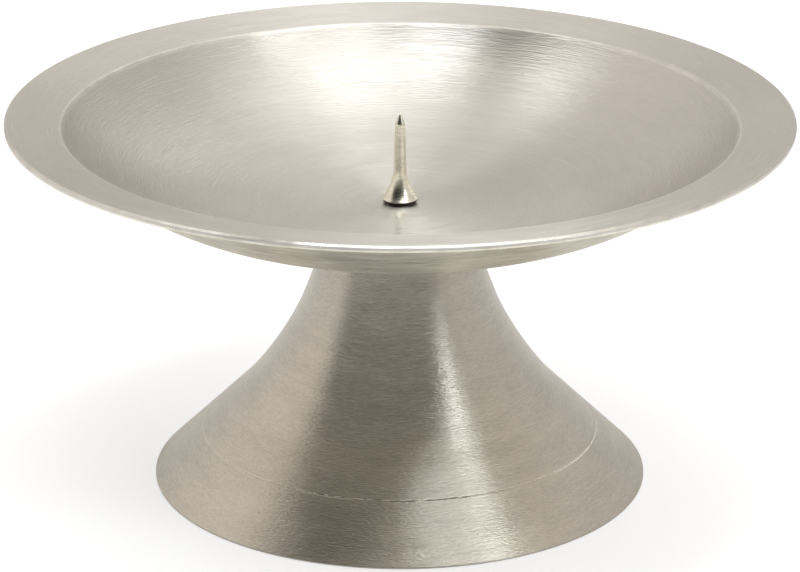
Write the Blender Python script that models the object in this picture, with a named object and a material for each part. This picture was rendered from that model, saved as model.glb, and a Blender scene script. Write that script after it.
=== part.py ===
"""Pricket candlestick in satin nickel: a spun drip dish on a spun trumpet foot, clamped by the pricket.

The pricket is one turned pin. Its stud passes down through the dish and the closed top of the foot, and a
nut with two washers pulls the stack together from inside the hollow foot.

Units are metres, +Z is up, and the origin is the middle of the ring that the foot stands on.
"""

import math

import bmesh
import bpy

MM = 0.001

# Gaps between pieces
SEAT_GAP = 0.3 * MM
STUD_CLEARANCE = 0.3 * MM
NUT_CLEARANCE = 0.2 * MM

# Foot, a trumpet spun from one disc, closed at the top
FOOT_RADIUS = 44.7 * MM
FOOT_HEIGHT = 50.1 * MM
FOOT_WALL = 1.2 * MM
FOOT_EDGE_HEIGHT = 0.35 * MM
FOOT_FLARE_ANGLE = math.radians(45.4)
FOOT_BLEND_RADIUS = 53.5 * MM
NECK_RADIUS = 11.3 * MM
NECK_ANGLE = math.radians(20.7)
NECK_SHOULDER_RADIUS = 2.2 * MM
GROOVE_HEIGHT = 9.0 * MM
GROOVE_WIDTH = 0.5 * MM
GROOVE_DEPTH = 0.25 * MM

# Drip dish, a wide bowl with a flat seat in the middle and a rim that rises outwards
DISH_RADIUS = 70.0 * MM
DISH_WALL = 1.2 * MM
RIM_WIDTH = 10.0 * MM
RIM_RISE = 1.5 * MM
RIM_EDGE_RADIUS = 0.45 * MM
BOWL_DEPTH = 15.5 * MM
BOWL_FLOOR_ANGLE = math.radians(8.0)
BOWL_EDGE_ANGLE = math.radians(50.0)
SEAT_MARGIN = 2.4 * MM

# Pricket, turned in one piece with its collar and stud
PRICKET_HEIGHT = 16.2 * MM
POINT_LENGTH = 1.8 * MM
POINT_TIP_RADIUS = 0.2 * MM
SPIKE_TOP_RADIUS = 0.93 * MM
SPIKE_BASE_RADIUS = 1.2 * MM
COLLAR_RADIUS = 3.25 * MM
COLLAR_EDGE = 0.45 * MM
COLLAR_UNDERCUT = 0.25 * MM
COLLAR_HEIGHT = 3.0 * MM
COLLAR_SWEEP_RADIUS = 9.0 * MM
STUD_RADIUS = 2.0 * MM
STUD_CHAMFER = 0.4 * MM
STUD_PROTRUSION = 2.0 * MM

# Fasteners inside the foot
WASHER_RADIUS = 4.5 * MM
WASHER_THICKNESS = 0.8 * MM
SPRING_WASHER_RADIUS = 3.8 * MM
SPRING_WASHER_THICKNESS = 0.9 * MM
SPRING_WASHER_SPLIT = math.radians(14.0)
NUT_ACROSS_FLATS = 7.0 * MM
NUT_HEIGHT = 3.2 * MM
NUT_FACE_RADIUS = 3.3 * MM
NUT_CHAMFER_ANGLE = math.radians(30.0)

# Facets round the axis
SHELL_SEGMENTS = 64
PIN_SEGMENTS = 32
RING_SEGMENTS = 36

# Levels of the stack, from the foot's top up, then down inside the foot
BORE_RADIUS = STUD_RADIUS + STUD_CLEARANCE
DISH_UNDERSIDE = FOOT_HEIGHT + SEAT_GAP
SEAT_HEIGHT = DISH_UNDERSIDE + DISH_WALL
COLLAR_UNDERSIDE = SEAT_HEIGHT + SEAT_GAP
WASHER_TOP = FOOT_HEIGHT - FOOT_WALL - SEAT_GAP
SPRING_WASHER_TOP = WASHER_TOP - WASHER_THICKNESS - SEAT_GAP
NUT_TOP = SPRING_WASHER_TOP - SPRING_WASHER_THICKNESS - SEAT_GAP
STUD_END = NUT_TOP - NUT_HEIGHT - STUD_PROTRUSION


def clear_scene():
    for obj in list(bpy.data.objects):
        bpy.data.objects.remove(obj, do_unlink=True)


def metal(name, colour, roughness):
    """A bare metal finish."""
    material = bpy.data.materials.new(name)
    material.use_nodes = True
    shader = material.node_tree.nodes["Principled BSDF"]
    shader.inputs["Base Color"].default_value = (*colour, 1.0)
    shader.inputs["Roughness"].default_value = roughness
    shader.inputs["Metallic"].default_value = 1.0
    material.diffuse_color = (*colour, 1.0)
    return material


def arc(centre, radius, start, end, steps):
    """Points on a circle in the (radius, height) half plane, from one angle to another."""
    turns = [start + (end - start) * step / steps for step in range(steps + 1)]
    return [(centre[0] + radius * math.cos(turn), centre[1] + radius * math.sin(turn)) for turn in turns]


def fillet(before, corner, after, radius, steps):
    """The arc that rounds a corner, no larger than the two straight runs that meet there allow."""
    back = (before[0] - corner[0], before[1] - corner[1])
    ahead = (after[0] - corner[0], after[1] - corner[1])
    back_length = math.hypot(*back)
    ahead_length = math.hypot(*ahead)
    back = (back[0] / back_length, back[1] / back_length)
    ahead = (ahead[0] / ahead_length, ahead[1] / ahead_length)
    half_angle = math.acos(back[0] * ahead[0] + back[1] * ahead[1]) / 2
    longest_setback = 0.98 * min(back_length, ahead_length)
    setback = min(radius / math.tan(half_angle), longest_setback)
    radius = setback * math.tan(half_angle)
    reach = math.hypot(radius, setback)
    middle = (back[0] + ahead[0], back[1] + ahead[1])
    middle_length = math.hypot(*middle)
    centre = (corner[0] + middle[0] / middle_length * reach, corner[1] + middle[1] / middle_length * reach)
    start = math.atan2(corner[1] + back[1] * setback - centre[1], corner[0] + back[0] * setback - centre[0])
    end = math.atan2(corner[1] + ahead[1] * setback - centre[1], corner[0] + ahead[0] * setback - centre[0])
    sweep = math.remainder(end - start, 2 * math.pi)
    return arc(centre, radius, start, start + sweep, steps)


def offset(path, distance):
    """The path moved sideways by a distance, to its right as it runs, so that a wall keeps its thickness."""
    runs = [(b[0] - a[0], b[1] - a[1]) for a, b in zip(path, path[1:])]
    normals = [(run[1] / math.hypot(*run), -run[0] / math.hypot(*run)) for run in runs]
    moved = []
    for index, point in enumerate(path):
        first = normals[max(index - 1, 0)]
        second = normals[min(index, len(normals) - 1)]
        share = 1 + first[0] * second[0] + first[1] * second[1]
        moved.append((
            point[0] + distance * (first[0] + second[0]) / share,
            point[1] + distance * (first[1] + second[1]) / share,
        ))
    return moved


def make_object(name, bm, material):
    """Turns the bmesh into a named object with smooth round faces and sharp edges."""
    bmesh.ops.remove_doubles(bm, verts=bm.verts, dist=0.0005 * MM)
    bmesh.ops.recalc_face_normals(bm, faces=bm.faces)
    mesh = bpy.data.meshes.new(name)
    bm.to_mesh(mesh)
    bm.free()
    mesh.materials.append(material)
    mesh.shade_smooth()
    mesh.set_sharp_from_angle(angle=math.radians(30.0))
    obj = bpy.data.objects.new(name, mesh)
    bpy.context.scene.collection.objects.link(obj)
    return obj


def turned(name, outline, material, segments, ends_on_axis=False):
    """A solid of revolution about Z from its (radius, height) outline."""
    bm = bmesh.new()
    verts = [bm.verts.new((radius, 0.0, height)) for radius, height in outline]
    pairs = list(zip(verts, verts[1:]))
    if not ends_on_axis:
        pairs.append((verts[-1], verts[0]))
    edges = [bm.edges.new(pair) for pair in pairs]
    bmesh.ops.spin(
        bm,
        geom=verts + edges,
        cent=(0.0, 0.0, 0.0),
        axis=(0.0, 0.0, 1.0),
        angle=2 * math.pi,
        steps=segments,
        use_merge=True,
    )
    return make_object(name, bm, material)


def ring(name, inner_radius, outer_radius, bottom, top, material):
    """A flat ring with square edges."""
    outline = [(inner_radius, bottom), (outer_radius, bottom), (outer_radius, top), (inner_radius, top)]
    return turned(name, outline, material, RING_SEGMENTS)


def boolean(obj, other, operation):
    """Cuts the object by a hidden helper, or keeps only what lies inside the helper."""
    other.hide_render = True
    other.display_type = "WIRE"
    modifier = obj.modifiers.new(other.name, "BOOLEAN")
    modifier.operation = operation
    modifier.object = other
    modifier.solver = "EXACT"


def foot_outer_path():
    """The foot's outer face, from the bore in its top out over the shoulder and down to its edge."""
    flare = (-math.sin(FOOT_FLARE_ANGLE), math.cos(FOOT_FLARE_ANGLE))
    neck = (-math.sin(NECK_ANGLE), math.cos(NECK_ANGLE))
    base = (FOOT_RADIUS, FOOT_EDGE_HEIGHT)
    shoulder = (NECK_RADIUS, FOOT_HEIGHT)
    # The neck's cone and the flare's cone meet at the waist, where the blend rounds them into each other.
    cross = flare[0] * neck[1] - flare[1] * neck[0]
    run = ((shoulder[0] - base[0]) * neck[1] - (shoulder[1] - base[1]) * neck[0]) / cross
    waist = (base[0] + run * flare[0], base[1] + run * flare[1])
    bore_edge = (BORE_RADIUS, FOOT_HEIGHT)
    path = [bore_edge]
    path += fillet(bore_edge, shoulder, waist, NECK_SHOULDER_RADIUS, 5)
    path += fillet(shoulder, waist, base, FOOT_BLEND_RADIUS, 12)
    path.append(base)
    return path


def with_groove(path):
    """The foot's outer face with a fine line turned into the flare, square to its surface."""
    across = (math.sin(FOOT_FLARE_ANGLE), -math.cos(FOOT_FLARE_ANGLE))
    inwards = (-math.cos(FOOT_FLARE_ANGLE), -math.sin(FOOT_FLARE_ANGLE))
    climb = GROOVE_HEIGHT - FOOT_EDGE_HEIGHT
    middle = (FOOT_RADIUS - climb * math.tan(FOOT_FLARE_ANGLE), GROOVE_HEIGHT)
    half = GROOVE_WIDTH / 2
    groove = [
        (middle[0] - across[0] * half, middle[1] - across[1] * half),
        (middle[0] + inwards[0] * GROOVE_DEPTH, middle[1] + inwards[1] * GROOVE_DEPTH),
        (middle[0] + across[0] * half, middle[1] + across[1] * half),
    ]
    return path[:-1] + groove + path[-1:]


def make_foot(material):
    outer = foot_outer_path()
    inner = offset(outer, FOOT_WALL)
    # The edge is turned upright outside and faced level below, where the slanted inner face runs out.
    flare_at_floor = FOOT_RADIUS + FOOT_EDGE_HEIGHT * math.tan(FOOT_FLARE_ANGLE)
    inner[-1] = (flare_at_floor - FOOT_WALL / math.cos(FOOT_FLARE_ANGLE), 0.0)
    outline = with_groove(outer) + [(FOOT_RADIUS, 0.0)] + inner[::-1]
    return turned("foot", outline, material, SHELL_SEGMENTS)


def dish_upper_path():
    """The dish's upper face, from the bore out over the seat, the floor and the side to the rim's edge."""
    seat_radius = NECK_RADIUS + SEAT_MARGIN
    rim_inner_radius = DISH_RADIUS - RIM_WIDTH
    # Two arcs, tangent to each other and to the seat, climb from the seat to the rim's inner edge.
    floor_sine = math.sin(BOWL_FLOOR_ANGLE)
    floor_rise = 1 - math.cos(BOWL_FLOOR_ANGLE)
    side_sine = math.sin(BOWL_EDGE_ANGLE) - floor_sine
    side_rise = math.cos(BOWL_FLOOR_ANGLE) - math.cos(BOWL_EDGE_ANGLE)
    span = rim_inner_radius - seat_radius
    scale = floor_sine * side_rise - side_sine * floor_rise
    floor_radius = (span * side_rise - BOWL_DEPTH * side_sine) / scale
    side_radius = (floor_sine * BOWL_DEPTH - floor_rise * span) / scale
    down = -math.pi / 2
    floor_centre = (seat_radius, SEAT_HEIGHT + floor_radius)
    floor = arc(floor_centre, floor_radius, down, down + BOWL_FLOOR_ANGLE, 5)
    side_centre = (
        floor[-1][0] - side_radius * floor_sine,
        floor[-1][1] + side_radius * math.cos(BOWL_FLOOR_ANGLE),
    )
    side = arc(side_centre, side_radius, down + BOWL_FLOOR_ANGLE, down + BOWL_EDGE_ANGLE, 9)
    rim_edge = (DISH_RADIUS, SEAT_HEIGHT + BOWL_DEPTH + RIM_RISE)
    return [(BORE_RADIUS, SEAT_HEIGHT)] + floor + side[1:] + [rim_edge]


def make_dish(material):
    upper = dish_upper_path()
    under = offset(upper, DISH_WALL)
    # The rim's outer face is turned upright, and its two corners are broken.
    rim_slope = RIM_RISE / RIM_WIDTH
    under[-1] = (DISH_RADIUS, upper[-1][1] - DISH_WALL * math.hypot(1.0, rim_slope))
    edge = fillet(upper[-2], upper[-1], under[-1], RIM_EDGE_RADIUS, 3)
    edge += fillet(upper[-1], under[-1], under[-2], RIM_EDGE_RADIUS, 3)
    return turned("drip_dish", upper[:-1] + edge + under[:-1][::-1], material, SHELL_SEGMENTS)


def make_pricket(material):
    tip = COLLAR_UNDERSIDE + PRICKET_HEIGHT
    spike_top = (SPIKE_TOP_RADIUS, tip - POINT_LENGTH)
    spike_base = (SPIKE_BASE_RADIUS, COLLAR_UNDERSIDE + COLLAR_HEIGHT)
    collar_rim = (COLLAR_RADIUS, COLLAR_UNDERSIDE + COLLAR_EDGE)
    outline = [(0.0, tip), (POINT_TIP_RADIUS, tip - POINT_TIP_RADIUS), spike_top]
    outline += fillet(spike_top, spike_base, collar_rim, COLLAR_SWEEP_RADIUS, 8)
    outline += [
        collar_rim,
        (COLLAR_RADIUS - COLLAR_UNDERCUT, COLLAR_UNDERSIDE),
        (STUD_RADIUS, COLLAR_UNDERSIDE),
        (STUD_RADIUS, STUD_END + STUD_CHAMFER),
        (STUD_RADIUS - STUD_CHAMFER, STUD_END),
        (0.0, STUD_END),
    ]
    return turned("pricket", outline, material, PIN_SEGMENTS, ends_on_axis=True)


def make_washer(material):
    return ring("flat_washer", BORE_RADIUS, WASHER_RADIUS, WASHER_TOP - WASHER_THICKNESS, WASHER_TOP, material)


def make_spring_washer(material):
    """A split ring, drawn flat by the nut."""
    bottom = SPRING_WASHER_TOP - SPRING_WASHER_THICKNESS
    corners = [
        (BORE_RADIUS, bottom),
        (SPRING_WASHER_RADIUS, bottom),
        (SPRING_WASHER_RADIUS, SPRING_WASHER_TOP),
        (BORE_RADIUS, SPRING_WASHER_TOP),
    ]
    bm = bmesh.new()
    section = bm.faces.new([bm.verts.new((radius, 0.0, height)) for radius, height in corners])
    swept = bmesh.ops.spin(
        bm,
        geom=[section, *section.edges, *section.verts],
        cent=(0.0, 0.0, 0.0),
        axis=(0.0, 0.0, 1.0),
        angle=2 * math.pi - SPRING_WASHER_SPLIT,
        steps=RING_SEGMENTS,
    )
    end_verts = [item for item in swept["geom_last"] if isinstance(item, bmesh.types.BMVert)]
    bmesh.ops.contextual_create(bm, geom=end_verts)
    return make_object("spring_washer", bm, material)


def make_nut(material):
    """A hexagon nut with a plain bore, faced and chamfered on both ends."""
    corner_radius = NUT_ACROSS_FLATS / 2 / math.cos(math.pi / 6)
    nut_bottom = NUT_TOP - NUT_HEIGHT
    # The hexagon bar is longer than the nut, and the turned blank gives the end faces and the chamfers.
    bm = bmesh.new()
    bmesh.ops.create_cone(
        bm, cap_ends=True, segments=6, radius1=corner_radius, radius2=corner_radius, depth=3 * NUT_HEIGHT
    )
    bmesh.ops.translate(bm, verts=bm.verts, vec=(0.0, 0.0, NUT_TOP - NUT_HEIGHT / 2))
    nut = make_object("hex_nut", bm, material)
    face_radius = NUT_FACE_RADIUS
    blank_radius = 1.5 * corner_radius
    drop = (blank_radius - face_radius) * math.tan(NUT_CHAMFER_ANGLE)
    drop = min(drop, 0.45 * NUT_HEIGHT)
    blank_radius = face_radius + drop / math.tan(NUT_CHAMFER_ANGLE)
    blank = [
        (0.0, NUT_TOP),
        (face_radius, NUT_TOP),
        (blank_radius, NUT_TOP - drop),
        (blank_radius, nut_bottom + drop),
        (face_radius, nut_bottom),
        (0.0, nut_bottom),
    ]
    bore_radius = STUD_RADIUS + NUT_CLEARANCE
    bore = [
        (0.0, NUT_TOP + NUT_HEIGHT),
        (bore_radius, NUT_TOP + NUT_HEIGHT),
        (bore_radius, nut_bottom - NUT_HEIGHT),
        (0.0, nut_bottom - NUT_HEIGHT),
    ]
    boolean(nut, turned("nut_blank", blank, material, RING_SEGMENTS, ends_on_axis=True), "INTERSECT")
    boolean(nut, turned("nut_bore", bore, material, PIN_SEGMENTS, ends_on_axis=True), "DIFFERENCE")
    return nut


def main():
    clear_scene()
    satin_nickel = metal("satin_nickel", (0.60, 0.56, 0.50), 0.38)
    bright_nickel = metal("bright_nickel", (0.72, 0.69, 0.63), 0.15)
    zinc_steel = metal("zinc_plated_steel", (0.55, 0.55, 0.54), 0.35)
    make_foot(satin_nickel)
    make_dish(satin_nickel)
    make_pricket(bright_nickel)
    make_washer(zinc_steel)
    make_spring_washer(zinc_steel)
    make_nut(zinc_steel)


main()
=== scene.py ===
"""Looks of the pricket candlestick: turned pieces, brushed and bright nickel, and a plain studio."""

import math

import bmesh
import bpy
from mathutils import Matrix, Quaternion, Vector


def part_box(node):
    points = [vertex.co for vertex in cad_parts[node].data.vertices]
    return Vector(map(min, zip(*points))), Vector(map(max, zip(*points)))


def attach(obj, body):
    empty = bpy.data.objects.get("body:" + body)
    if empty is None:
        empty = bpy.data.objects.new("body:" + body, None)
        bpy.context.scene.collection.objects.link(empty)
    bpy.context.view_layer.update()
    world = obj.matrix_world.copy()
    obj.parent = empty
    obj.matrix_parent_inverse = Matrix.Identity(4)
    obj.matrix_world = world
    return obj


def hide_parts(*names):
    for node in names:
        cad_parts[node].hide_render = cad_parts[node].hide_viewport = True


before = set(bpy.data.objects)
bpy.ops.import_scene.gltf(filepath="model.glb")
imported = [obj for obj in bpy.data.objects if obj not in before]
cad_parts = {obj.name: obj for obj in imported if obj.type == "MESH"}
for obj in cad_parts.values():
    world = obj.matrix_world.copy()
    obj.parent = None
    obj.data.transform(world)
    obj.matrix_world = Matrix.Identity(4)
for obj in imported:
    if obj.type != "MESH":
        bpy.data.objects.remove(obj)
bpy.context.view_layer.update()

MM = 0.001

# Sizes that the frame gives
DISH_LOW, DISH_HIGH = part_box("drip_dish")
FOOT_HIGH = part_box("foot")[1]
PRICKET_LOW, PRICKET_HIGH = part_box("pricket")
WASHER_LOW, WASHER_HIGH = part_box("flat_washer")
SPRING_LOW, SPRING_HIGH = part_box("spring_washer")
NUT_LOW, NUT_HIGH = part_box("hex_nut")

# Sheet and bores
WALL = 1.2 * MM
BORE_RADIUS = 2.3 * MM
SEAT_GAP = 0.3 * MM

# Drip dish
DISH_RADIUS = DISH_HIGH.x
RIM_TOP = DISH_HIGH.z
SEAT_HEIGHT = DISH_LOW.z + WALL
RIM_WIDTH = 10.0 * MM
RIM_RISE = 1.5 * MM
SEAT_RADIUS = 13.7 * MM
FLOOR_ANGLE = math.radians(8.0)
SIDE_ANGLE = math.radians(50.0)
RIM_EDGE_ROUNDING = 0.45 * MM
RIM_CUT = 0.34 * MM
RIM_CUT_ROUNDING = 0.05 * MM
BOWL_EDGE_ROUNDING = 0.5 * MM
UNDERSIDE_FACING = -0.05

# Foot
FOOT_RADIUS = FOOT_HIGH.x
FOOT_HEIGHT = FOOT_HIGH.z
FLARE_ANGLE = math.radians(45.4)
FLARE_BLEND = 53.5 * MM
NECK_RADIUS = 11.3 * MM
NECK_ANGLE = math.radians(20.7)
SHOULDER_ROUNDING = 2.2 * MM
FOOT_EDGE_HEIGHT = 0.35 * MM
FOOT_EDGE_ROUNDING = 0.12 * MM
GROOVE_HEIGHT = 9.0 * MM
GROOVE_WIDTH = 0.36 * MM
GROOVE_DEPTH = 0.13 * MM
GROOVE_ROUNDING = 0.04 * MM
FLOOR_FACING = -0.99

# Pricket
TIP_HEIGHT = PRICKET_HIGH.z
STUD_END = PRICKET_LOW.z
COLLAR_RADIUS = PRICKET_HIGH.x
COLLAR_UNDERSIDE = SEAT_HEIGHT + SEAT_GAP
COLLAR_EDGE = 0.45 * MM
COLLAR_UNDERCUT = 0.25 * MM
COLLAR_EDGE_ROUNDING = 0.08 * MM
COLLAR_HEIGHT = 3.0 * MM
COLLAR_SWEEP = 9.0 * MM
SPIKE_BASE_RADIUS = 1.2 * MM
SPIKE_TOP_RADIUS = 0.93 * MM
POINT_LENGTH = 1.8 * MM
POINT_ROUNDING = 0.4 * MM
TIP_RADIUS = 0.2 * MM
STUD_RADIUS = 2.0 * MM
STUD_CHAMFER = 0.4 * MM
THREAD_PITCH = 0.7 * MM
THREAD_DEPTH = 0.4 * MM
THREAD_SINK = 0.05 * MM
HALF_THREAD_ROOT = 0.42 * THREAD_PITCH
HALF_THREAD_CREST = 0.08 * THREAD_PITCH

# Washers and nut
WASHER_LOWER_ROUNDING = 0.22 * MM
WASHER_UPPER_ROUNDING = 0.08 * MM
WASHER_BORE_ROUNDING = 0.12 * MM
SPRING_SPLIT = math.radians(14.0)
SPRING_EDGE_ROUNDING = 0.1 * MM
NUT_SIDES = 6
NUT_FACE_SHARE = 0.94
NUT_CHAMFER_ANGLE = math.radians(30.0)
NUT_CLEARANCE = 0.2 * MM
NUT_COUNTERSINK = 0.25 * MM
NUT_CREASE = math.radians(25.0)

# Facets
SHELL_STEPS = 320
PIN_STEPS = 96
FASTENER_STEPS = 72
THREAD_STEPS = 32
FLOOR_STEPS = 24
SIDE_STEPS = 48
FLARE_STEPS = 48
SWEEP_STEPS = 24
MERGE_DISTANCE = 0.0002 * MM
CUT_TOLERANCE = 0.00001 * MM

# The photograph's camera
CAMERA_PLACE = (0.0, -0.6279, 0.2716)
CAMERA_PITCH = math.radians(20.61)
CAMERA_ROLL = math.radians(0.109)
CAMERA_LENS = 167.3
CAMERA_NEAR = 0.01
SENSOR_WIDTH = 36.0

# Satin strokes, their tone and their relief
DRIFT_LENGTH = 8.0 * MM
DRIFT_WIDTH = 5.0 * MM
DRIFT_SEED = 40.0
SWEEP_LENGTH = 15.0 * MM
SWEEP_WIDTH = 4.5 * MM
LEAN_SEED = 11.0
NOISE_ROUGHNESS = 0.55
NOISE_RANGE = (0.3, 0.7)
SCRATCH_RANGE = (0.66, 0.74)
LEAN_RANGE = (0.2, 0.8)
LONG_TONE = 0.36
SHORT_TONE = 0.36
SWEEP_TONE = 0.28
SCRATCH_TONE = 0.5
LONG_RELIEF = 0.5
SCRATCH_RELIEF = 1.3
STROKE_DEPTH = 0.05 * MM
SATIN_GRAIN = 0.33
GRAIN_SPREAD = 0.08
SATIN_PULL = 0.93
INSIDE_GRAIN = 0.42
INSIDE_PULL = 0.7

# Rubbed edges
EDGE_REACH = 0.6 * MM
FOOT_INSIDE_REACH = 0.4 * MM
GROOVE_REACH = 0.22 * MM
RUBBING_SCALE = 260.0
EDGE_GRAIN = 0.3
GROOVE_GRAIN = 0.1
BARE_TONE = 1.1
GROOVE_TONE = 0.95

# Lights and room
FLOOR_REACH = 3.0
SOFTBOX_DISTANCE = 3.0
SOFTBOX_COLOUR = (0.94, 1.015, 1.04)
ROOM_COLOUR = (1.0, 0.96, 0.885, 1.0)
WALL_SPAN = (0.0, math.radians(15.0))
WALL_GLOW = (0.50, 0.89)
CORNICE_SPAN = (math.radians(48.0), math.radians(62.0))
CORNICE_GLOW = 0.53
CEILING_LOSS = 0.85
LEFT_TO_RIGHT_GLOW = (1.15, 0.85)
FRONT_TO_BACK_GLOW = (1.17, 0.83)

# The room's dark camera side, by angles to the right of the camera and up
DARK_LEFT_EDGE = (math.radians(-86.7), math.radians(-62.4))
DARK_RIGHT_EDGE = (math.radians(30.6), math.radians(75.7))
DARK_TOP = math.radians(54.2)
DARK_TOP_SLOPE = -0.392
DARK_TOP_LIMIT = math.radians(64.0)
DARK_TOP_BLUR = math.radians(2.6)
DARK_RISE = (0.0, math.radians(20.0))
DARK_DEPTH = (0.72, 1.0)

FULL_TURN = 2 * math.pi
ORIGIN = (0.0, 0.0, 0.0)
UPWARDS = (0.0, 0.0, 1.0)
TURNING_WAY = (0.0, -1.0, 0.0)


# Outlines, drawn as a wire in the XZ plane and turned about Z

def begin(bm, radius, height):
    return bm.verts.new((radius, 0.0, height))


def line_to(bm, vert, radius, height):
    """A straight run from the wire's end to a new point."""
    end = bmesh.ops.extrude_vert_indiv(bm, verts=[vert])["verts"][0]
    end.co = (radius, 0.0, height)
    return end


def arc_about(bm, vert, radius, height, angle, steps):
    """A round run from the wire's end, about a centre in the XZ plane."""
    swept = bmesh.ops.spin(
        bm, geom=[vert], cent=(radius, 0.0, height), axis=TURNING_WAY, angle=angle, steps=steps
    )
    return next(item for item in swept["geom_last"] if isinstance(item, bmesh.types.BMVert))


def bevel_corners(bm, verts, setback, segments):
    """Cuts corners of a flat outline, straight across or rounded in segments."""
    return bmesh.ops.bevel(
        bm, geom=verts, offset=setback, offset_type="OFFSET", segments=segments, profile=0.5,
        affect="VERTICES", material=-1,
    )["verts"]


def corner_setback(vert, radius):
    """How far from a corner a rounding of this radius starts."""
    first, second = [(edge.other_vert(vert).co - vert.co).normalized() for edge in vert.link_edges]
    return radius / math.tan(first.angle(second) / 2)


def round_corner(bm, vert, radius, segments):
    """Rounds one corner of the wire to a radius."""
    bevel_corners(bm, [vert], corner_setback(vert, radius), segments)


def cut_corner(bm, vert, radius, rounding):
    """Cuts one corner of the wire straight across in place of a rounding, and breaks the cut's edges."""
    for corner in bevel_corners(bm, [vert], corner_setback(vert, radius), segments=1):
        round_corner(bm, corner, rounding, segments=2)


def turn(bm, steps):
    """Turns the wire a full turn about Z into a solid."""
    bmesh.ops.spin(
        bm, geom=bm.verts[:] + bm.edges[:], cent=ORIGIN, axis=UPWARDS, angle=FULL_TURN, steps=steps,
        use_merge=True,
    )
    bmesh.ops.remove_doubles(bm, verts=bm.verts, dist=MERGE_DISTANCE)
    bmesh.ops.recalc_face_normals(bm, faces=bm.faces)


def inset_corners(points, distance):
    """The corners of a path moved to its right, so that every straight run moves by the same distance."""
    runs = [(Vector(b) - Vector(a)).normalized() for a, b in zip(points, points[1:])]
    sides = [Vector((run.y, -run.x)) for run in runs]
    moved = []
    for index, point in enumerate(points):
        before = sides[max(index - 1, 0)]
        after = sides[min(index, len(sides) - 1)]
        moved.append(Vector(point) + (before + after) * distance / (1 + before.dot(after)))
    return moved


def finish_piece(name, bm, materials, node):
    """A piece that stands for a CAD node, shaded so that flats stay flat beside small roundings."""
    mesh = bpy.data.meshes.new(name)
    bm.to_mesh(mesh)
    bm.free()
    mesh.shade_smooth()
    for material in materials:
        mesh.materials.append(material)
    piece = bpy.data.objects.new(name, mesh)
    bpy.context.scene.collection.objects.link(piece)
    shading = piece.modifiers.new("flat_faces_lead", "WEIGHTED_NORMAL")
    shading.mode = "FACE_AREA"
    shading.keep_sharp = True
    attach(piece, "root")
    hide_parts(node)


# Pieces

def make_dish(upper, underside):
    """The spun dish: flat seat, two tangent arcs up to the bowl's crisp edge, and the rising rim."""
    bowl_edge = (DISH_RADIUS - RIM_WIDTH, RIM_TOP - RIM_RISE)
    span = bowl_edge[0] - SEAT_RADIUS
    depth = bowl_edge[1] - SEAT_HEIGHT
    floor_sine = math.sin(FLOOR_ANGLE)
    floor_rise = 1 - math.cos(FLOOR_ANGLE)
    side_sine = math.sin(SIDE_ANGLE) - floor_sine
    side_rise = math.cos(FLOOR_ANGLE) - math.cos(SIDE_ANGLE)
    scale = floor_sine * side_rise - side_sine * floor_rise
    floor_radius = (span * side_rise - depth * side_sine) / scale
    side_radius = (floor_sine * depth - floor_rise * span) / scale
    floor_centre = (SEAT_RADIUS, SEAT_HEIGHT + floor_radius)
    side_centre = (
        floor_centre[0] + (floor_radius - side_radius) * floor_sine,
        floor_centre[1] - (floor_radius - side_radius) * math.cos(FLOOR_ANGLE),
    )
    rim_thickness = WALL * math.hypot(1.0, RIM_RISE / RIM_WIDTH)
    rim_angle = math.atan(RIM_RISE / RIM_WIDTH)

    bm = bmesh.new()
    start = begin(bm, BORE_RADIUS, SEAT_HEIGHT)
    pen = line_to(bm, start, SEAT_RADIUS, SEAT_HEIGHT)
    pen = arc_about(bm, pen, *floor_centre, FLOOR_ANGLE, FLOOR_STEPS)
    edge = arc_about(bm, pen, *side_centre, SIDE_ANGLE - FLOOR_ANGLE, SIDE_STEPS)
    rim_upper = line_to(bm, edge, DISH_RADIUS, RIM_TOP)
    rim_lower = line_to(bm, rim_upper, DISH_RADIUS, RIM_TOP - rim_thickness)
    # Under the rim, the side's outer arc is left a little early, where it meets the rim's underside.
    under_angle = SIDE_ANGLE - WALL / side_radius * math.tan((SIDE_ANGLE - rim_angle) / 2)
    under_radius = side_radius + WALL
    under_edge = line_to(
        bm,
        rim_lower,
        side_centre[0] + under_radius * math.sin(under_angle),
        side_centre[1] - under_radius * math.cos(under_angle),
    )
    pen = arc_about(bm, under_edge, *side_centre, FLOOR_ANGLE - under_angle, SIDE_STEPS)
    pen = arc_about(bm, pen, *floor_centre, -FLOOR_ANGLE, FLOOR_STEPS)
    pen = line_to(bm, pen, BORE_RADIUS, SEAT_HEIGHT - WALL)
    bm.edges.new((pen, start))
    cut_corner(bm, rim_upper, RIM_CUT, RIM_CUT_ROUNDING)
    round_corner(bm, rim_lower, RIM_EDGE_ROUNDING, segments=5)
    round_corner(bm, edge, BOWL_EDGE_ROUNDING, segments=4)
    turn(bm, SHELL_STEPS)
    # Faces that look down take the underside nickel, whose lighter tone is painted light.
    for face in bm.faces:
        face.material_index = int(face.normal.z < UNDERSIDE_FACING)
    finish_piece("turned_dish", bm, [upper, underside], "drip_dish")


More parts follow.
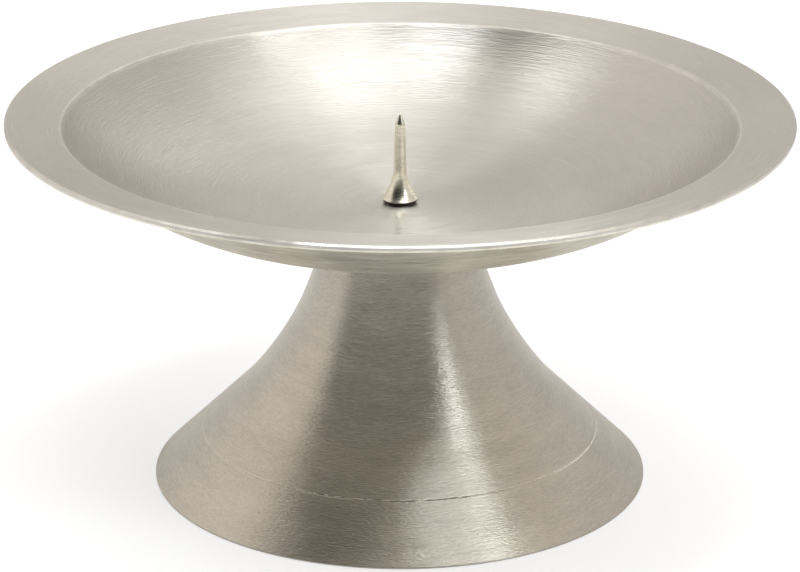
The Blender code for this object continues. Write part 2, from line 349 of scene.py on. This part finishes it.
def make_foot(outside, inside):
    """The spun foot: closed top, shoulder, neck, trumpet flare with its fine groove, and trimmed edge."""
    flare = Vector((-math.sin(FLARE_ANGLE), math.cos(FLARE_ANGLE)))
    neck = Vector((-math.sin(NECK_ANGLE), math.cos(NECK_ANGLE)))
    base = Vector((FOOT_RADIUS, FOOT_EDGE_HEIGHT))
    shoulder = Vector((NECK_RADIUS, FOOT_HEIGHT))
    reach = (shoulder - base).cross(neck) / flare.cross(neck)
    waist = base + flare * reach
    bore_edge = Vector((BORE_RADIUS, FOOT_HEIGHT))
    under_bore, under_shoulder, under_waist, _ = inset_corners([bore_edge, shoulder, waist, base], WALL)
    flare_at_floor = FOOT_RADIUS + FOOT_EDGE_HEIGHT * math.tan(FLARE_ANGLE)
    under_base = Vector((flare_at_floor - WALL / math.cos(FLARE_ANGLE), 0.0))
    groove = base + flare * (GROOVE_HEIGHT - FOOT_EDGE_HEIGHT) / math.cos(FLARE_ANGLE)
    groove_bottom = groove - Vector((flare.y, -flare.x)) * GROOVE_DEPTH

    bm = bmesh.new()
    start = begin(bm, *bore_edge)
    shoulder_vert = line_to(bm, start, *shoulder)
    waist_vert = line_to(bm, shoulder_vert, *waist)
    groove_verts = [line_to(bm, waist_vert, *(groove + flare * GROOVE_WIDTH / 2))]
    groove_verts.append(line_to(bm, groove_verts[-1], *groove_bottom))
    groove_verts.append(line_to(bm, groove_verts[-1], *(groove - flare * GROOVE_WIDTH / 2)))
    base_vert = line_to(bm, groove_verts[-1], *base)
    floor_vert = line_to(bm, base_vert, FOOT_RADIUS, 0.0)
    under_base_vert = line_to(bm, floor_vert, *under_base)
    under_waist_vert = line_to(bm, under_base_vert, *under_waist)
    under_shoulder_vert = line_to(bm, under_waist_vert, *under_shoulder)
    pen = line_to(bm, under_shoulder_vert, *under_bore)
    bm.edges.new((pen, start))
    round_corner(bm, waist_vert, FLARE_BLEND, FLARE_STEPS)
    round_corner(bm, under_waist_vert, FLARE_BLEND + WALL, FLARE_STEPS)
    round_corner(bm, shoulder_vert, SHOULDER_ROUNDING, segments=10)
    round_corner(bm, under_shoulder_vert, SHOULDER_ROUNDING - WALL, segments=8)
    for vert in (base_vert, floor_vert, under_base_vert):
        round_corner(bm, vert, FOOT_EDGE_ROUNDING, segments=4)
    for vert in groove_verts:
        round_corner(bm, vert, GROOVE_ROUNDING, segments=3)
    turn(bm, SHELL_STEPS)
    for face in bm.faces:
        middle = face.calc_center_median()
        faces_axis = face.normal.dot((middle.x, middle.y, 0.0)) < 0
        face.material_index = int(faces_axis or face.normal.z < FLOOR_FACING)
    finish_piece("turned_foot", bm, [outside, inside], "foot")


def make_pricket(material):
    """The turned spike with its point and collar, and the threaded stud below."""
    thread_top = NUT_HIGH.z + THREAD_PITCH
    root_radius = STUD_RADIUS - THREAD_DEPTH
    bm = bmesh.new()
    pen = begin(bm, 0.0, TIP_HEIGHT)
    tip = line_to(bm, pen, TIP_RADIUS, TIP_HEIGHT - TIP_RADIUS / 2)
    point = line_to(bm, tip, SPIKE_TOP_RADIUS, TIP_HEIGHT - POINT_LENGTH)
    spike = line_to(bm, point, SPIKE_BASE_RADIUS, COLLAR_UNDERSIDE + COLLAR_HEIGHT)
    collar_upper = line_to(bm, spike, COLLAR_RADIUS, COLLAR_UNDERSIDE + COLLAR_EDGE)
    collar_lower = line_to(bm, collar_upper, COLLAR_RADIUS - COLLAR_UNDERCUT, COLLAR_UNDERSIDE)
    pen = line_to(bm, collar_lower, STUD_RADIUS, COLLAR_UNDERSIDE)
    pen = line_to(bm, pen, STUD_RADIUS, thread_top)
    pen = line_to(bm, pen, root_radius, thread_top - THREAD_DEPTH)
    pen = line_to(bm, pen, root_radius, STUD_END + STUD_CHAMFER / 2)
    pen = line_to(bm, pen, root_radius - STUD_CHAMFER / 2, STUD_END)
    line_to(bm, pen, 0.0, STUD_END)
    round_corner(bm, tip, TIP_RADIUS / 2, segments=4)
    round_corner(bm, point, POINT_ROUNDING, segments=4)
    round_corner(bm, spike, COLLAR_SWEEP, SWEEP_STEPS)
    round_corner(bm, collar_upper, COLLAR_EDGE_ROUNDING, segments=4)
    round_corner(bm, collar_lower, COLLAR_EDGE_ROUNDING, segments=4)
    turn(bm, PIN_STEPS)
    add_thread(bm, root_radius, STUD_END + THREAD_PITCH / 2, thread_top - THREAD_PITCH)
    finish_piece("turned_pricket", bm, [material], "pricket")


def add_thread(bm, root_radius, bottom, top):
    """One helical ridge, wound up the stud's core and sunk a little into it."""
    foot_radius = root_radius - THREAD_SINK
    corners = [
        (foot_radius, bottom - HALF_THREAD_ROOT),
        (STUD_RADIUS, bottom - HALF_THREAD_CREST),
        (STUD_RADIUS, bottom + HALF_THREAD_CREST),
        (foot_radius, bottom + HALF_THREAD_ROOT),
    ]
    turns = (top - bottom) / THREAD_PITCH
    steps = round(turns * THREAD_STEPS)
    section = bm.faces.new([begin(bm, radius, height) for radius, height in corners])
    bmesh.ops.spin(
        bm, geom=[section, *section.edges, *section.verts], cent=ORIGIN, axis=UPWARDS,
        dvec=(0.0, 0.0, (top - bottom) / steps), angle=FULL_TURN * turns, steps=steps,
    )
    bmesh.ops.recalc_face_normals(bm, faces=bm.faces)


def make_flat_washer(material):
    """A stamped washer, with a rolled lower edge and a sharper upper one."""
    bm = bmesh.new()
    start = begin(bm, BORE_RADIUS, WASHER_LOW.z)
    lower = line_to(bm, start, WASHER_HIGH.x, WASHER_LOW.z)
    upper = line_to(bm, lower, WASHER_HIGH.x, WASHER_HIGH.z)
    inner = line_to(bm, upper, BORE_RADIUS, WASHER_HIGH.z)
    bm.edges.new((inner, start))
    round_corner(bm, lower, WASHER_LOWER_ROUNDING, segments=4)
    round_corner(bm, upper, WASHER_UPPER_ROUNDING, segments=3)
    round_corner(bm, start, WASHER_BORE_ROUNDING, segments=3)
    turn(bm, FASTENER_STEPS)
    finish_piece("stamped_washer", bm, [material], "flat_washer")


def make_spring_washer(material):
    """A split ring of square wire with broken edges, drawn flat by the nut."""
    corners = [
        (BORE_RADIUS, SPRING_LOW.z),
        (SPRING_HIGH.x, SPRING_LOW.z),
        (SPRING_HIGH.x, SPRING_HIGH.z),
        (BORE_RADIUS, SPRING_HIGH.z),
    ]
    bm = bmesh.new()
    section = bm.faces.new([begin(bm, radius, height) for radius, height in corners])
    bevel_corners(bm, section.verts[:], SPRING_EDGE_ROUNDING, segments=3)
    bmesh.ops.spin(
        bm, geom=bm.verts[:] + bm.edges[:] + bm.faces[:], cent=ORIGIN, axis=UPWARDS,
        angle=FULL_TURN - SPRING_SPLIT, steps=FASTENER_STEPS,
    )
    bmesh.ops.recalc_face_normals(bm, faces=bm.faces)
    finish_piece("split_washer", bm, [material], "spring_washer")


def make_nut(material):
    """A chamfered blank with a countersunk bore, milled to six flats."""
    flat_distance = (NUT_HIGH.x - NUT_LOW.x) / 2
    corner_radius = flat_distance / math.cos(math.pi / NUT_SIDES)
    face_radius = NUT_FACE_SHARE * flat_distance
    chamfer = (corner_radius - face_radius) * math.tan(NUT_CHAMFER_ANGLE)
    bore_radius = STUD_RADIUS + NUT_CLEARANCE
    bm = bmesh.new()
    start = begin(bm, bore_radius, NUT_LOW.z + NUT_COUNTERSINK)
    pen = line_to(bm, start, bore_radius + NUT_COUNTERSINK, NUT_LOW.z)
    pen = line_to(bm, pen, face_radius, NUT_LOW.z)
    pen = line_to(bm, pen, corner_radius, NUT_LOW.z + chamfer)
    pen = line_to(bm, pen, corner_radius, NUT_HIGH.z - chamfer)
    pen = line_to(bm, pen, face_radius, NUT_HIGH.z)
    pen = line_to(bm, pen, bore_radius + NUT_COUNTERSINK, NUT_HIGH.z)
    pen = line_to(bm, pen, bore_radius, NUT_HIGH.z - NUT_COUNTERSINK)
    bm.edges.new((pen, start))
    turn(bm, FASTENER_STEPS)
    for side in range(NUT_SIDES):
        way = Matrix.Rotation(side * FULL_TURN / NUT_SIDES, 3, "Z") @ Vector((1.0, 0.0, 0.0))
        cut = bmesh.ops.bisect_plane(
            bm, geom=bm.verts[:] + bm.edges[:] + bm.faces[:], dist=CUT_TOLERANCE,
            plane_co=way * flat_distance, plane_no=way, clear_outer=True,
        )
        rim = [item for item in cut["geom_cut"] if isinstance(item, bmesh.types.BMEdge)]
        bmesh.ops.contextual_create(bm, geom=rim)
    bmesh.ops.recalc_face_normals(bm, faces=bm.faces)
    for edge in bm.edges:
        edge.smooth = edge.calc_face_angle(0.0) < NUT_CREASE
    finish_piece("chamfered_nut", bm, [material], "hex_nut")


# Node helpers

def place(tree, kind, inputs=None, **settings):
    """A node with its settings, whose inputs take either values or other nodes' outputs."""
    node = tree.nodes.new(kind)
    for key, value in settings.items():
        setattr(node, key, value)
    for key, value in (inputs or {}).items():
        give(tree, node.inputs[key], value)
    return node


def give(tree, socket, value):
    """Feeds a socket with another node's output, or sets it to a value."""
    if isinstance(value, bpy.types.NodeSocket):
        tree.links.new(value, socket)
    else:
        socket.default_value = value


def calculate(tree, operation, *values):
    """The result of one sum on up to three numbers."""
    return place(tree, "ShaderNodeMath", dict(enumerate(values)), operation=operation).outputs[0]


def vector_sum(tree, operation, *values):
    """The vector that comes from one sum on vectors."""
    return place(tree, "ShaderNodeVectorMath", dict(enumerate(values)), operation=operation).outputs[0]


def stretch(tree, vector, scale):
    """A vector times a number."""
    return place(tree, "ShaderNodeVectorMath", {0: vector, "Scale": scale}, operation="SCALE").outputs[0]


def remap(tree, value, low, high, to_low, to_high, easing="LINEAR"):
    """A value moved from one range to another and held inside it."""
    inputs = {"Value": value, "From Min": low, "From Max": high, "To Min": to_low, "To Max": to_high}
    return place(tree, "ShaderNodeMapRange", inputs, interpolation_type=easing).outputs[0]


def remap_softly(tree, value, low, high, to_low, to_high):
    """The same, easing in and out of the range."""
    return remap(tree, value, low, high, to_low, to_high, easing="SMOOTHSTEP")


def blend_colours(tree, factor, first, second):
    mix = place(tree, "ShaderNodeMix", data_type="RGBA")
    factor_socket, first_socket, second_socket = mix.inputs[0], mix.inputs[6], mix.inputs[7]
    give(tree, factor_socket, factor)
    give(tree, first_socket, first)
    give(tree, second_socket, second)
    return mix.outputs[2]


def mottling(tree, scale, detail):
    """Even noise over a piece."""
    spot = place(tree, "ShaderNodeTexCoord").outputs["Object"]
    return place(tree, "ShaderNodeTexNoise", {"Vector": spot, "Scale": scale, "Detail": detail}).outputs[0]


def new_group(name, inputs, outputs):
    """An empty shader group with number inputs, given with their usual values, and number outputs."""
    group = bpy.data.node_groups.new(name, "ShaderNodeTree")
    for label, value in inputs.items():
        socket = group.interface.new_socket(label, in_out="INPUT", socket_type="NodeSocketFloat")
        socket.default_value = value
    for label in outputs:
        group.interface.new_socket(label, in_out="OUTPUT", socket_type="NodeSocketFloat")
    given = group.nodes.new("NodeGroupInput").outputs
    results = group.nodes.new("NodeGroupOutput").inputs
    return group, given, results


# Brush strokes and wear

def ring_place(tree):
    """A point, the level part of its place, its distance from the axis and its height."""
    spot = place(tree, "ShaderNodeTexCoord").outputs["Object"]
    parts = place(tree, "ShaderNodeSeparateXYZ", {"Vector": spot}).outputs
    level = place(tree, "ShaderNodeCombineXYZ", {"X": parts["X"], "Y": parts["Y"]}).outputs[0]
    radius = place(tree, "ShaderNodeVectorMath", {0: level}, operation="LENGTH").outputs["Value"]
    return spot, level, radius, parts["Z"]


def drawn_noise(tree, level, across, length, width, seed, detail):
    """Noise drawn out round the axis: so long along its ring and so wide across."""
    along = stretch(tree, level, calculate(tree, "DIVIDE", 1.0, length))
    line = calculate(tree, "DIVIDE", across, width)
    lifted = place(tree, "ShaderNodeCombineXYZ", {"X": seed, "Y": seed, "Z": line}).outputs[0]
    spot = vector_sum(tree, "ADD", along, lifted)
    inputs = {"Vector": spot, "Scale": 1.0, "Detail": detail, "Roughness": NOISE_ROUGHNESS}
    return place(tree, "ShaderNodeTexNoise", inputs).outputs[0]


def stroke_inputs(length, width, wander, radius_sense, seed):
    """Values for the brushing group. The radius sense tells how the radius changes up the profile."""
    return {
        "Stroke Length": length, "Stroke Width": width, "Wander": wander, "Radius Sense": radius_sense,
        "Seed": seed,
    }


def ring_brushing_group():
    """Hand-satined strokes round the axis: long and short strokes, broad sweeps and stray scratches."""
    group, given, results = new_group(
        "ring_brushing",
        stroke_inputs(2.0 * MM, 0.3 * MM, 1.0 * MM, 1.0, 0.0),
        ("Long Strokes", "Short Strokes", "Scratches", "Sweep"),
    )
    _, level, radius, height = ring_place(group)
    across = calculate(group, "MULTIPLY_ADD", radius, given["Radius Sense"], height)

    def strokes(result, length_share, width_share, shift, noise_range):
        """A layer of strokes whose lines drift up and down as they run round."""
        seed = calculate(group, "ADD", given["Seed"], shift)
        drift_seed = calculate(group, "ADD", given["Seed"], shift + DRIFT_SEED)
        drift = drawn_noise(group, level, across, DRIFT_LENGTH, DRIFT_WIDTH, drift_seed, detail=1.0)
        line = calculate(group, "MULTIPLY_ADD", drift, given["Wander"], across)
        length = calculate(group, "MULTIPLY", given["Stroke Length"], length_share)
        width = calculate(group, "MULTIPLY", given["Stroke Width"], width_share)
        noise = drawn_noise(group, level, line, length, width, seed, detail=1.0)
        group.links.new(remap(group, noise, *noise_range, 0.0, 1.0), results[result])

    strokes("Long Strokes", length_share=1.0, width_share=1.0, shift=3.1, noise_range=NOISE_RANGE)
    strokes("Short Strokes", length_share=0.35, width_share=0.7, shift=17.7, noise_range=NOISE_RANGE)
    strokes("Scratches", length_share=1.6, width_share=1.1, shift=29.3, noise_range=SCRATCH_RANGE)
    sweep = drawn_noise(group, level, across, SWEEP_LENGTH, SWEEP_WIDTH, given["Seed"], detail=3.0)
    group.links.new(remap(group, sweep, *NOISE_RANGE, 0.0, 1.0), results["Sweep"])
    return group


def edge_inputs(first, second, reach, by_height):
    """Values for the wear group: two edges, how far wear reaches, and 1 where heights tell the edges."""
    return {"By Height": by_height, "First Edge": first, "Second Edge": second, "Reach": reach}


def edge_wear_group():
    """Wear on two turned edges, found by their radius or by their height, and rubbed unevenly."""
    group, given, results = new_group("edge_wear", edge_inputs(0.0, 0.0, 0.5 * MM, 0.0), ("Wear",))
    _, _, radius, height = ring_place(group)
    climb = calculate(group, "SUBTRACT", height, radius)
    where = calculate(group, "MULTIPLY_ADD", climb, given["By Height"], radius)
    rings = []
    for edge in ("First Edge", "Second Edge"):
        distance = calculate(group, "ABSOLUTE", calculate(group, "SUBTRACT", where, given[edge]))
        share = calculate(group, "DIVIDE", distance, given["Reach"])
        rings.append(remap_softly(group, share, 0.5, 1.0, 1.0, 0.0))
    rubbing = remap(group, mottling(group, RUBBING_SCALE, detail=3.0), 0.35, 0.55, 0.4, 1.0)
    worn = calculate(group, "MULTIPLY", calculate(group, "MAXIMUM", *rings), rubbing)
    group.links.new(worn, results["Wear"])
    return group


def ring_tangent(tree, strokes, tilt):
    """The way up the profile, across the strokes, leaning a little from stroke to stroke."""
    spot, level, radius, height = ring_place(tree)
    round_way = vector_sum(tree, "NORMALIZE", vector_sum(tree, "CROSS_PRODUCT", UPWARDS, spot))
    normal = place(tree, "ShaderNodeNewGeometry").outputs["Normal"]
    up_way = vector_sum(tree, "CROSS_PRODUCT", normal, round_way)
    across = calculate(tree, "MULTIPLY_ADD", radius, strokes["Radius Sense"], height)
    length, width = strokes["Stroke Length"], strokes["Stroke Width"]
    noise = drawn_noise(tree, level, across, length, width, LEAN_SEED, detail=0.0)
    lean = remap(tree, noise, *LEAN_RANGE, -tilt, tilt)
    return vector_sum(tree, "ADD", up_way, stretch(tree, round_way, lean))


# Materials

def new_material(name):
    material = bpy.data.materials.new(name)
    material.use_nodes = True
    shader = material.node_tree.nodes["Principled BSDF"]
    return material, material.node_tree, shader


def brushed_nickel(
    name, brushing, wear, dark, light, strokes, edges, relief, tilt, grain=SATIN_GRAIN, pull=SATIN_PULL,
    edge_grain=EDGE_GRAIN, bare_tone=BARE_TONE,
):
    """Satin nickel plate with brush strokes round the axis and rubbed edges."""
    material, tree, shader = new_material(name)
    brushed = place(tree, "ShaderNodeGroup", strokes, node_tree=brushing).outputs
    worn = place(tree, "ShaderNodeGroup", edges, node_tree=wear).outputs["Wear"]
    long_strokes, short_strokes = brushed["Long Strokes"], brushed["Short Strokes"]
    tone = calculate(tree, "MULTIPLY", long_strokes, LONG_TONE)
    tone = calculate(tree, "MULTIPLY_ADD", short_strokes, SHORT_TONE, tone)
    tone = calculate(tree, "MULTIPLY_ADD", brushed["Sweep"], SWEEP_TONE, tone)
    colour = blend_colours(tree, tone, (*dark, 1.0), (*light, 1.0))
    bare = (*(bare_tone * part for part in light), 1.0)
    scratched = calculate(tree, "MULTIPLY", brushed["Scratches"], SCRATCH_TONE)
    colour = blend_colours(tree, scratched, colour, bare)
    colour = blend_colours(tree, worn, colour, bare)
    tree.links.new(colour, shader.inputs["Base Color"])
    stroke_grain = calculate(tree, "MULTIPLY_ADD", long_strokes, GRAIN_SPREAD, grain - GRAIN_SPREAD / 2)
    rubbed = calculate(tree, "MULTIPLY", worn, edge_grain - grain)
    tree.links.new(calculate(tree, "ADD", stroke_grain, rubbed), shader.inputs["Roughness"])
    height = calculate(tree, "MULTIPLY_ADD", long_strokes, LONG_RELIEF, short_strokes)
    height = calculate(tree, "MULTIPLY_ADD", brushed["Scratches"], SCRATCH_RELIEF, height)
    bump = place(tree, "ShaderNodeBump", {"Height": height, "Strength": relief, "Distance": STROKE_DEPTH})
    tree.links.new(bump.outputs["Normal"], shader.inputs["Normal"])
    shader.inputs["Metallic"].default_value = 1.0
    shader.inputs["Anisotropic"].default_value = pull
    tree.links.new(ring_tangent(tree, strokes, tilt), shader.inputs["Tangent"])
    return material


def dish_nickel(brushing, wear):
    """The dish's face: long fine strokes, with wear on the rim's two edges."""
    return brushed_nickel(
        "dish_satin", brushing, wear, dark=(0.565, 0.536, 0.505), light=(0.652, 0.617, 0.581),
        strokes=stroke_inputs(9.0 * MM, 0.5 * MM, wander=0.3 * MM, radius_sense=1.0, seed=0.0),
        edges=edge_inputs(DISH_RADIUS, DISH_RADIUS - RIM_WIDTH, EDGE_REACH, by_height=0.0),
        relief=0.5, tilt=0.08,
    )


def underside_nickel(brushing, wear):
    """The dish's underside: coarser strokes, with wear on the outer edge, in a nickel much lighter than
    the dish's face, a painted lift of light on the faces that look down.
    """
    return brushed_nickel(
        # The lighter tones here are painted light on the downward faces, which get little light.
        "dish_underside", brushing, wear, dark=(0.52, 0.489, 0.422), light=(0.93, 0.874, 0.753),
        strokes=stroke_inputs(8.0 * MM, 0.9 * MM, wander=0.4 * MM, radius_sense=1.0, seed=7.0),
        edges=edge_inputs(DISH_RADIUS, DISH_RADIUS, EDGE_REACH, by_height=0.0),
        relief=0.5, tilt=0.1,
    )


def foot_nickel(brushing, wear):
    """The foot's outside: short wandering strokes, with the groove's lips and the lower edge burnished."""
    return brushed_nickel(
        "foot_satin", brushing, wear, dark=(0.45, 0.418, 0.374), light=(0.70, 0.651, 0.581),
        strokes=stroke_inputs(2.2 * MM, 0.36 * MM, wander=0.7 * MM, radius_sense=-1.0, seed=5.0),
        edges=edge_inputs(0.0, GROOVE_HEIGHT, GROOVE_REACH, by_height=1.0),
        relief=0.46, tilt=0.08, edge_grain=GROOVE_GRAIN, bare_tone=GROOVE_TONE,
    )


def inside_nickel(brushing, wear):
    """The foot's inside: darker and duller, with the long strokes that spinning leaves."""
    return brushed_nickel(
        "foot_inside", brushing, wear, dark=(0.36, 0.335, 0.30), light=(0.56, 0.52, 0.465),
        strokes=stroke_inputs(12.0 * MM, 0.6 * MM, wander=0.0, radius_sense=-1.0, seed=9.0),
        edges=edge_inputs(0.0, 0.0, FOOT_INSIDE_REACH, by_height=1.0),
        relief=0.5, tilt=0.1, grain=INSIDE_GRAIN, pull=INSIDE_PULL,
    )


def bright_nickel(brushing):
    """Bright plate over fine lathe rings, with painted shade, a near-black band, under the collar's edge.
    """
    ring_dark = (0.66, 0.622, 0.525, 1.0)
    ring_light = (0.80, 0.762, 0.66, 1.0)
    # Near-black colour painted under the collar's edge as painted shade in the gap there.
    gap_shade_colour = (0.06, 0.045, 0.04, 1.0)
    edge_top = COLLAR_UNDERSIDE + COLLAR_EDGE
    material, tree, shader = new_material("spike_bright")
    turning = stroke_inputs(3.0 * MM, 0.3 * MM, wander=0.0, radius_sense=-1.0, seed=0.0)
    turned = place(tree, "ShaderNodeGroup", turning, node_tree=brushing).outputs
    rings = turned["Long Strokes"]
    height = ring_place(tree)[3]
    # Painted shade: a band from the dish's seat up to just over the collar's edge takes the near-black
    # colour and more roughness.
    below_edge = remap(tree, height, edge_top - 0.05 * MM, edge_top + 0.1 * MM, 1.0, 0.0)
    above_seat = remap(tree, height, SEAT_HEIGHT - 0.1 * MM, SEAT_HEIGHT, 0.0, 1.0)
    gap_shade = calculate(tree, "MULTIPLY", below_edge, above_seat)
    colour = blend_colours(tree, rings, ring_dark, ring_light)
    tree.links.new(blend_colours(tree, gap_shade, colour, gap_shade_colour), shader.inputs["Base Color"])
    shine = remap(tree, turned["Sweep"], 0.0, 1.0, 0.24, 0.34)
    tree.links.new(calculate(tree, "MULTIPLY_ADD", gap_shade, 0.3, shine), shader.inputs["Roughness"])
    bump = place(tree, "ShaderNodeBump", {"Height": rings, "Strength": 0.3, "Distance": 0.02 * MM})
    tree.links.new(bump.outputs["Normal"], shader.inputs["Normal"])
    shader.inputs["Metallic"].default_value = 1.0
    return material


def zinc_steel():
    """Dull zinc plate with a faint mottle."""
    dull_grey = (0.42, 0.43, 0.44, 1.0)
    pale_grey = (0.62, 0.62, 0.60, 1.0)
    material, tree, shader = new_material("zinc_plate")
    mottle = mottling(tree, scale=900.0, detail=4.0)
    tree.links.new(blend_colours(tree, mottle, dull_grey, pale_grey), shader.inputs["Base Color"])
    tree.links.new(remap(tree, mottle, *NOISE_RANGE, 0.28, 0.46), shader.inputs["Roughness"])
    bump = place(tree, "ShaderNodeBump", {"Height": mottle, "Strength": 0.15, "Distance": 0.02 * MM})
    tree.links.new(bump.outputs["Normal"], shader.inputs["Normal"])
    shader.inputs["Metallic"].default_value = 1.0
    return material


def pale_paper():
    """The studio's pale paper, which glows a little so that it shows almost white."""
    paper_dark = (0.60, 0.60, 0.61, 1.0)
    paper_light = (0.64, 0.64, 0.65, 1.0)
    glow_on_piece = (0.25, 0.25, 0.25, 1.0)
    glow_in_view = (0.53, 0.53, 0.54, 1.0)
    material, tree, shader = new_material("studio_paper")
    fibre = mottling(tree, scale=400.0, detail=3.0)
    tree.links.new(blend_colours(tree, fibre, paper_dark, paper_light), shader.inputs["Base Color"])
    shader.inputs["Roughness"].default_value = 0.9
    shader.inputs["Specular IOR Level"].default_value = 0.1
    seen = place(tree, "ShaderNodeLightPath").outputs["Is Camera Ray"]
    tree.links.new(blend_colours(tree, seen, glow_on_piece, glow_in_view), shader.inputs["Emission Color"])
    shader.inputs["Emission Strength"].default_value = 1.0
    return material


# Studio

def make_floor():
    bm = bmesh.new()
    bmesh.ops.create_grid(bm, x_segments=8, y_segments=8, size=FLOOR_REACH)
    mesh = bpy.data.meshes.new("studio_floor")
    bm.to_mesh(mesh)
    bm.free()
    mesh.materials.append(pale_paper())
    floor = bpy.data.objects.new("studio_floor", mesh)
    bpy.context.scene.collection.objects.link(floor)


def make_softbox(name, direction, size, roll, radiance):
    """A soft panel that faces the object. Its direction is degrees to the right of the camera, and up."""
    azimuth, elevation = [math.radians(angle) for angle in direction]
    level_way = Vector((math.sin(azimuth), -math.cos(azimuth), 0.0))
    way = level_way * math.cos(elevation) + Vector(UPWARDS) * math.sin(elevation)
    width, height = size
    light = bpy.data.lights.new(name, "AREA")
    light.shape = "RECTANGLE"
    light.size = width
    light.size_y = height
    light.energy = math.pi * width * height * radiance
    light.color = SOFTBOX_COLOUR
    lamp = bpy.data.objects.new(name, light)
    lamp.location = way * SOFTBOX_DISTANCE
    facing = (-way).to_track_quat("-Z", "Y") @ Quaternion(UPWARDS, math.radians(roll))
    lamp.rotation_euler = facing.to_euler()
    lamp.visible_camera = False
    bpy.context.scene.collection.objects.link(lamp)


def make_softboxes():
    """The panels whose reflections make the dish's bright fan and the foot's streaks."""
    make_softbox("overhead_softbox", (-33.8, 87.0), (0.39, 2.24), roll=-15.9, radiance=6.00)
    make_softbox("front_softbox", (-18.2, 71.5), (0.50, 0.38), roll=-59.0, radiance=2.84)
    make_softbox("right_softbox", (51.0, 34.9), (0.54, 0.93), roll=-1.8, radiance=5.25)
    make_softbox("high_right_softbox", (32.5, 51.9), (1.48, 0.41), roll=-26.3, radiance=4.45)
    make_softbox("high_left_softbox", (-112.2, 62.1), (0.96, 0.49), roll=33.0, radiance=1.79)
    make_softbox("back_softbox", (162.3, 55.1), (3.08, 1.22), roll=-62.1, radiance=0.42)
    make_softbox("low_back_softbox", (164.0, 32.0), (0.50, 1.00), roll=0.0, radiance=0.35)


def room_glow(tree, parts, elevation):
    """The room's light: pale walls, brightest under the ceiling, and more of it at the front and left."""
    walls = remap(tree, elevation, *WALL_SPAN, *WALL_GLOW)
    cornice = remap(tree, elevation, *CORNICE_SPAN, 0.0, CORNICE_GLOW)
    ceiling = remap(tree, elevation, CORNICE_SPAN[1], math.pi / 2, 0.0, -CEILING_LOSS)
    glow = calculate(tree, "ADD", calculate(tree, "ADD", walls, cornice), ceiling)
    glow = calculate(tree, "MULTIPLY", glow, remap(tree, parts["X"], -1.0, 1.0, *LEFT_TO_RIGHT_GLOW))
    return calculate(tree, "MULTIPLY", glow, remap(tree, parts["Y"], -1.0, 1.0, *FRONT_TO_BACK_GLOW))


def dark_camera_side(tree, azimuth, elevation):
    """Where the room is dark: behind the camera, up to a slanted top."""
    from_left = remap_softly(tree, azimuth, *DARK_LEFT_EDGE, 0.0, 1.0)
    to_right = remap_softly(tree, azimuth, *DARK_RIGHT_EDGE, 1.0, 0.0)
    slanted_top = calculate(tree, "MULTIPLY_ADD", azimuth, DARK_TOP_SLOPE, DARK_TOP)
    top = calculate(tree, "MINIMUM", slanted_top, DARK_TOP_LIMIT)
    above = calculate(tree, "SUBTRACT", elevation, top)
    below = remap_softly(tree, above, -DARK_TOP_BLUR, DARK_TOP_BLUR, 1.0, 0.0)
    dark = calculate(tree, "MULTIPLY", calculate(tree, "MULTIPLY", from_left, to_right), below)
    return calculate(tree, "MULTIPLY", dark, remap(tree, elevation, *DARK_RISE, *DARK_DEPTH))


def make_surroundings():
    """A pale room whose camera side is dark, with a white backdrop."""
    world = bpy.data.worlds.new("studio")
    bpy.context.scene.world = world
    world.use_nodes = True
    tree = world.node_tree
    way = place(tree, "ShaderNodeTexCoord").outputs["Generated"]
    parts = place(tree, "ShaderNodeSeparateXYZ", {"Vector": way}).outputs
    elevation = calculate(tree, "ARCSINE", parts["Z"])
    azimuth = calculate(tree, "ARCTAN2", parts["X"], calculate(tree, "MULTIPLY", parts["Y"], -1.0))
    lit = calculate(tree, "SUBTRACT", 1.0, dark_camera_side(tree, azimuth, elevation))
    strength = calculate(tree, "MULTIPLY", room_glow(tree, parts, elevation), lit)

    room = tree.nodes["Background"]
    room.inputs["Color"].default_value = ROOM_COLOUR
    tree.links.new(strength, room.inputs["Strength"])
    backdrop = place(tree, "ShaderNodeBackground", {"Color": (1.0, 1.0, 1.0, 1.0)})
    seen = place(tree, "ShaderNodeLightPath").outputs["Is Camera Ray"]
    mixed = place(tree, "ShaderNodeMixShader", {0: seen, 1: room.outputs[0], 2: backdrop.outputs[0]})
    tree.links.new(mixed.outputs[0], tree.nodes["World Output"].inputs["Surface"])


def make_camera():
    camera = bpy.data.cameras.new("photo_camera")
    camera.sensor_fit = "HORIZONTAL"
    camera.sensor_width = SENSOR_WIDTH
    camera.lens = CAMERA_LENS
    camera.clip_start = CAMERA_NEAR
    holder = bpy.data.objects.new("photo_camera", camera)
    tip_down = Matrix.Rotation(math.pi / 2 - CAMERA_PITCH, 4, "X")
    roll = Matrix.Rotation(CAMERA_ROLL, 4, "Z")
    holder.matrix_world = Matrix.Translation(CAMERA_PLACE) @ tip_down @ roll
    bpy.context.scene.collection.objects.link(holder)
    bpy.context.scene.camera = holder


def build():
    brushing = ring_brushing_group()
    wear = edge_wear_group()
    make_dish(dish_nickel(brushing, wear), underside_nickel(brushing, wear))
    make_foot(foot_nickel(brushing, wear), inside_nickel(brushing, wear))
    make_pricket(bright_nickel(brushing))
    zinc = zinc_steel()
    make_flat_washer(zinc)
    make_spring_washer(zinc)
    make_nut(zinc)
    make_floor()
    make_surroundings()
    make_softboxes()
    make_camera()
    bpy.context.scene.view_settings.view_transform = "Standard"


build()
